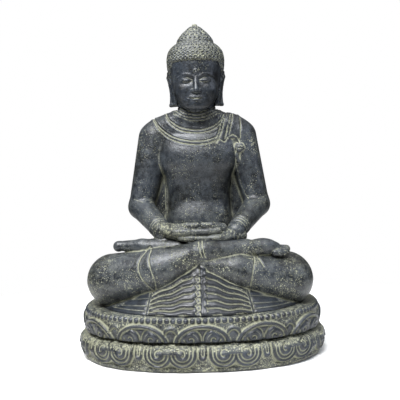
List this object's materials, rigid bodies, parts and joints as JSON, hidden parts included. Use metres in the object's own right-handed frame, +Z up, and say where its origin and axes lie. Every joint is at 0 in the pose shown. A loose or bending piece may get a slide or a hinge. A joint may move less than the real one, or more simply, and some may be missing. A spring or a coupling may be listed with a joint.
{
  "type": "seated meditation statue",
  "caption": "Seated figure in meditation on a double lotus plinth, cast in dark stone, for a garden, terrace or shrine.",
  "frame": {"origin": "middle of the plinth's underside, on the surface it stands on", "axes": "+X towards the figure's left hand, -Y the way the figure faces, +Z up through the hair knot"},
  "size_m": [0.4664, 0.3716, 0.63],
  "materials": {
    "cast_stone": "dark lava-sand cast stone, rubbed, with pale residue left in the hollows",
    "mortar": "cement mortar, matt",
    "steel": "mild steel bar with light rust"
  },
  "bodies": {
    "root": {"lotus_plinth": "cast_stone", "lotus_seat": "cast_stone", "seated_figure": "cast_stone", "head": "cast_stone", "plinth_mortar": "mortar", "seat_mortar": "mortar", "neck_mortar": "mortar", "plinth_hoop": "steel", "seat_hoop": "steel", "plinth_dowels": "steel", "seat_dowels": "steel", "neck_dowel": "steel", "spine_rod": "steel", "arm_rod": "steel", "leg_rod": "steel", "tie_wires": "steel"}
  },
  "joints": []
}
